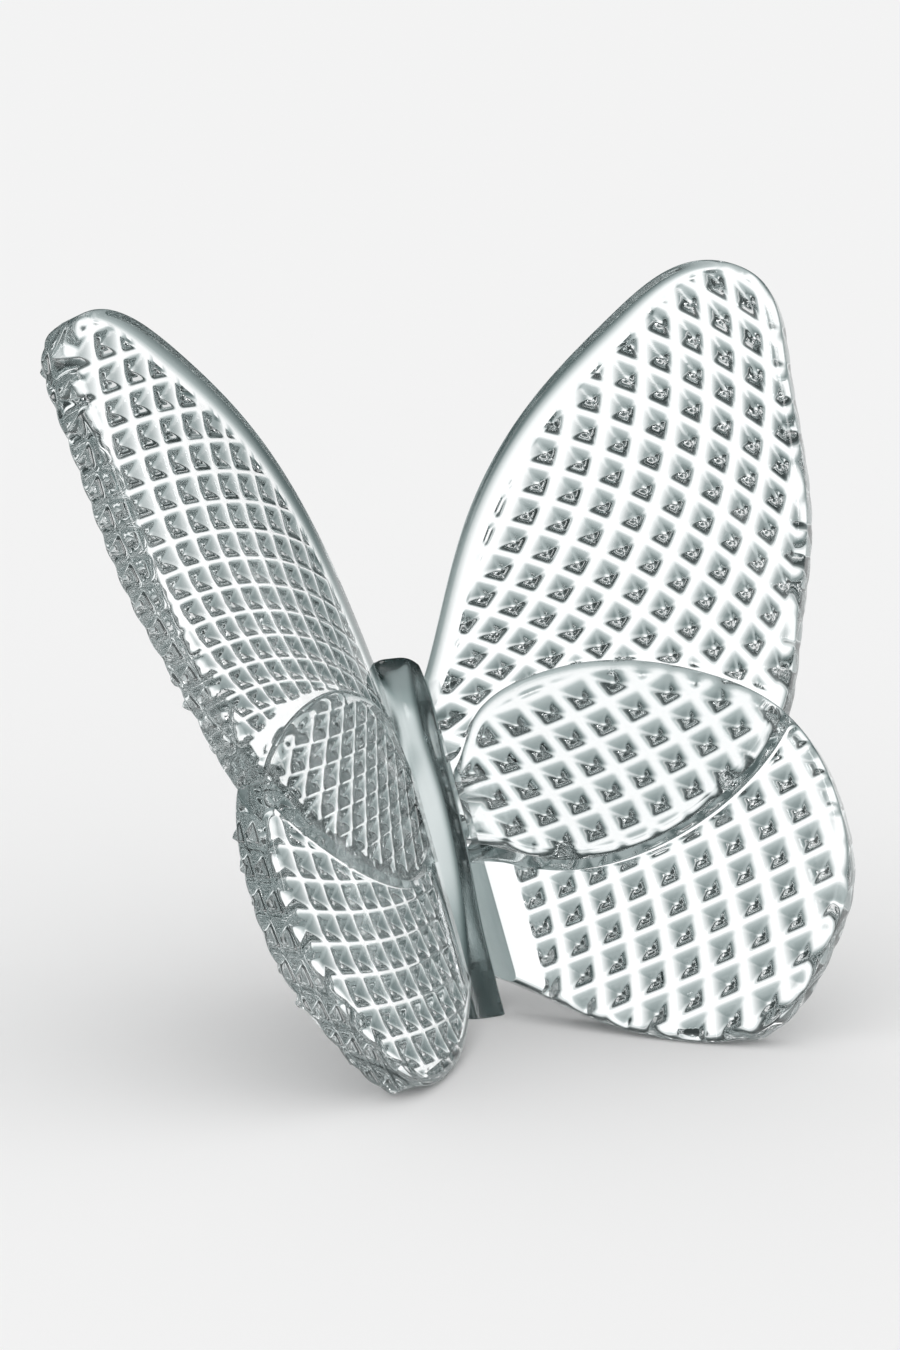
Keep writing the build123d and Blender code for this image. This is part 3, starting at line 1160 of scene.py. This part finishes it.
@dataclass(frozen=True)
class Studio:
    """Pale floor, even light, a dark ring that only the crystal sees, and the photograph's camera.

    Tones are places on a ramp from 0 to 1, each with its brightness.
    """

    shoulder_y: float
    target_ahead: float = 9.79
    target_height: float = 29.8
    azimuth: float = math.radians(-27.0)
    elevation: float = math.radians(12.9)
    distance: float = 0.5357
    lens: float = 160.0
    sensor: float = 36.0
    clip_start: float = 0.01
    bounces: int = 24
    glossy_bounces: int = 14
    background: float = 0.88
    dome_light: float = 1.02
    dark_tint: float = 0.20
    sheet_points: int = 9
    floor_reach: float = 4000.0
    floor_drop: float = 0.02
    through_floor: float = 1.22
    slant_tones: Shares = (
        (0.0, 0.28), (0.42, 0.38), (0.58, 0.52), (0.69, 0.92), (0.73, 1.0), (0.88, 1.0), (0.95, 0.75),
        (1.0, 0.6))
    aside_tones: Shares = ((0.0, 0.95), (0.13, 0.75), (0.26, 0.24), (0.55, 0.36), (0.80, 0.92), (0.88, 1.0))
    ring_low: float = math.radians(1.0)
    ring_high: float = math.radians(64.0)
    ring_reach: float = 900.0
    ring_points: tuple[int, int] = (25, 97)
    ring_tones: Shares = ((0.0, 0.9), (0.07, 0.26), (0.20, 0.06), (0.6, 0.045), (0.9, 0.20), (1.0, 0.6))
    cards: tuple[Card, ...] = (
        Card("card_behind", 20.0, 40.0, 14.0, 16.0, 1.6),
        Card("card_right", 100.0, 38.0, 14.0, 16.0, 0.5),
        Card("card_left", -80.0, 42.0, 18.0, 20.0, 1.3),
        Card("card_front", 200.0, 45.0, 24.0, 16.0, 1.2),
        Card("card_top", 156.0, 52.0, 22.0, 10.0, 5.0),
    )

    @property
    def pale(self) -> tuple[float, float, float, float]:
        """Colour of the floor and of the background."""
        return (self.background, self.background, self.background, 1.0)

    def build(self) -> None:
        """Camera, world, floor, ring and cards."""
        scene = bpy.context.scene
        scene.view_settings.view_transform = "Standard"
        scene.cycles.max_bounces = self.bounces
        scene.cycles.glossy_bounces = self.glossy_bounces
        scene.cycles.transmission_bounces = self.bounces
        self.camera()
        self.world()
        self.floor()
        self.ring()
        for card in self.cards:
            self.card(card)

    def camera(self) -> None:
        """Camera that looks at the ornament as the photograph does."""
        data = bpy.data.cameras.new("camera")
        data.lens = self.lens
        data.sensor_width = self.sensor
        data.clip_start = self.clip_start
        made = bpy.data.objects.new("camera", data)
        target = Vector((0.0, (self.shoulder_y - self.target_ahead) * MM, self.target_height * MM))
        back = Vector((
            math.sin(self.azimuth) * math.cos(self.elevation),
            -math.cos(self.azimuth) * math.cos(self.elevation),
            math.sin(self.elevation),
        ))
        made.location = target + back * self.distance
        made.rotation_mode = "QUATERNION"
        made.rotation_quaternion = (-back).to_track_quat("-Z", "Y")
        bpy.context.scene.collection.objects.link(made)
        bpy.context.scene.camera = made

    def world(self) -> None:
        """Even dome light, pale to the camera and to the crystal."""
        world = bpy.data.worlds.new("studio")
        world.use_nodes = True
        bpy.context.scene.world = world
        wires = Wiring(world.node_tree)
        dome, out = (world.node_tree.nodes[name] for name in ("Background", "World Output"))
        wires.put(dome, Color=(1.0, 1.0, 1.0, 1.0), Strength=self.dome_light)
        pale = wires.add("Background", Color=self.pale)
        path = wires.add("LightPath")
        first = wires.add("Math", "MAXIMUM")
        second = wires.add("Math", "MAXIMUM")
        mix = wires.add("MixShader")
        wires.link(path, "Is Camera Ray", first, 0)
        wires.link(path, "Is Glossy Ray", first, 1)
        wires.link(first, 0, second, 0)
        wires.link(path, "Is Transmission Ray", second, 1)
        wires.link(second, 0, mix, "Fac")
        wires.link(dome, 0, mix, 1)
        wires.link(pale, 0, mix, 2)
        wires.link(mix, 0, out, "Surface")

    def ramp(self, wires: Wiring, tones: Shares) -> bpy.types.Node:
        """Grey ramp, faintly green-blue where it is dark.

        Args:
            wires: Wiring of the material.
            tones: Places and brightnesses, in rising order of place.

        Returns:
            The ramp's node.
        """
        node = wires.add("ValToRGB")
        elements = node.color_ramp.elements
        while len(elements) < len(tones):
            elements.new(1.0)
        for element, (place, bright) in zip(elements, tones):
            element.position = place
            element.color = (bright * (1.0 - self.dark_tint + self.dark_tint * bright), bright, bright, 1.0)
        return node

    def floor(self) -> None:
        """Pale floor that keeps the shadow, and that glows to the crystal by the direction of the ray.

        The glow is the product of two tones of 1 - |cos|: of the ray's angle to the upright, and of its angle
        to the level line across the camera's direction.
        """
        paper, wires, out = bare_material("pale_paper")
        matte = wires.add("BsdfDiffuse", Color=self.pale)
        glow = wires.add("Emission", Strength=self.through_floor)
        slant, slant_tone = wires.add("LayerWeight"), self.ramp(wires, self.slant_tones)
        across = wires.add("CombineXYZ", X=math.cos(self.azimuth), Y=math.sin(self.azimuth))
        aside, aside_tone = wires.add("LayerWeight"), self.ramp(wires, self.aside_tones)
        both = wires.add("VectorMath", "MULTIPLY")
        path = wires.add("LightPath")
        mix = wires.add("MixShader")
        wires.link(slant, "Facing", slant_tone, "Fac")
        wires.link(across, 0, aside, "Normal")
        wires.link(aside, "Facing", aside_tone, "Fac")
        wires.link(slant_tone, "Color", both, 0)
        wires.link(aside_tone, "Color", both, 1)
        wires.link(both, "Vector", glow, "Color")
        wires.link(path, "Is Transmission Ray", mix, "Fac")
        wires.link(matte, 0, mix, 1)
        wires.link(glow, 0, mix, 2)
        wires.link(mix, 0, out, "Surface")
        reach = np.linspace(-self.floor_reach, self.floor_reach, self.sheet_points)
        x, y = np.meshgrid(reach, reach)
        quad_sheet("floor", np.stack([x, y, np.full_like(x, -self.floor_drop)], axis=-1), paper)

    @staticmethod
    def unseen(made: bpy.types.Object) -> None:
        """Keep a studio piece away from the camera, from diffuse light and from shadows."""
        made.visible_camera = False
        made.visible_diffuse = False
        made.visible_shadow = False

    def ring(self) -> None:
        """Dark ring of studio cloth, light at its foot, that gives the crystal its contrast."""
        cloth, wires, out = bare_material("dark_cloth")
        glow = wires.add("Emission")
        place = wires.add("TexCoord")
        split = wires.add("SeparateXYZ")
        ends = [self.ring_reach * MM * math.sin(angle) for angle in (self.ring_low, self.ring_high)]
        height = wires.add("MapRange", From_Min=ends[0], From_Max=ends[1])
        tone = self.ramp(wires, self.ring_tones)
        wires.link(place, "Object", split, 0)
        wires.link(split, "Z", height, "Value")
        wires.link(height, "Result", tone, "Fac")
        wires.link(tone, "Color", glow, "Color")
        wires.link(glow, 0, out, "Surface")
        rows, columns = self.ring_points
        rise = np.linspace(self.ring_low, self.ring_high, rows)[:, None]
        turn = np.radians(np.linspace(0.0, 360.0, columns))[None]
        self.unseen(quad_sheet("dark_ring", on_dome(self.ring_reach, turn, rise), cloth))

    def card(self, card: Card) -> None:
        """One light card in front of the ring.

        Args:
            card: Its place, size and strength.
        """
        light, wires, out = bare_material(card.name)
        wires.link(wires.add("Emission", Strength=card.strength), 0, out, "Surface")
        across = np.linspace(-0.5, 0.5, self.sheet_points)
        turn = np.radians(card.azimuth + card.width * across)[None]
        rise = np.radians(card.elevation + card.height * across)[:, None]
        self.unseen(quad_sheet(card.name, on_dome(card.reach, turn, rise), light))


def main() -> None:
    """Build every piece in order, dress it and report it."""
    logging.basicConfig(level=logging.INFO, format="%(name)s %(message)s")
    shoulder_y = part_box("body")[0][1] / MM + Body.foot_front
    plane = WingPlane((0.0, shoulder_y, SHOULDER_HEIGHT))
    wing_crystal = WING_CRYSTAL.material()
    clear_film = CLEAR_FILM.material()
    forewing, hindwing = Forewing(plane), Hindwing(plane)
    films = Film(plane)
    body = Body(shoulder_y)
    for side in Side:
        for kind, wing in {"forewing": forewing, "hindwing": hindwing}.items():
            plate = piece_from_patches(f"{side.word}_{kind}_crystal", wing.patches(side), side)
            dress(plate, wing_crystal, "crystal_wing", f"{side.word}_{kind}")
        bonds = {
            "lap_bond": films.in_lap(forewing, hindwing),
            "forewing_bond": films.on_root(forewing, body.half_width),
            "hindwing_bond": films.on_root(hindwing, body.half_width),
        }
        for kind, patches in bonds.items():
            bond = piece_from_patches(f"{side.word}_{kind}_film", patches, side)
            dress(bond, clear_film, "clear_adhesive", f"{side.word}_{kind}")
    bar = piece_from_patches("body_crystal", body.patches())
    dress(bar, BODY_CRYSTAL.material(), "crystal_body", "body")
    Studio(shoulder_y).build()


if __name__ == "__main__":
    main()
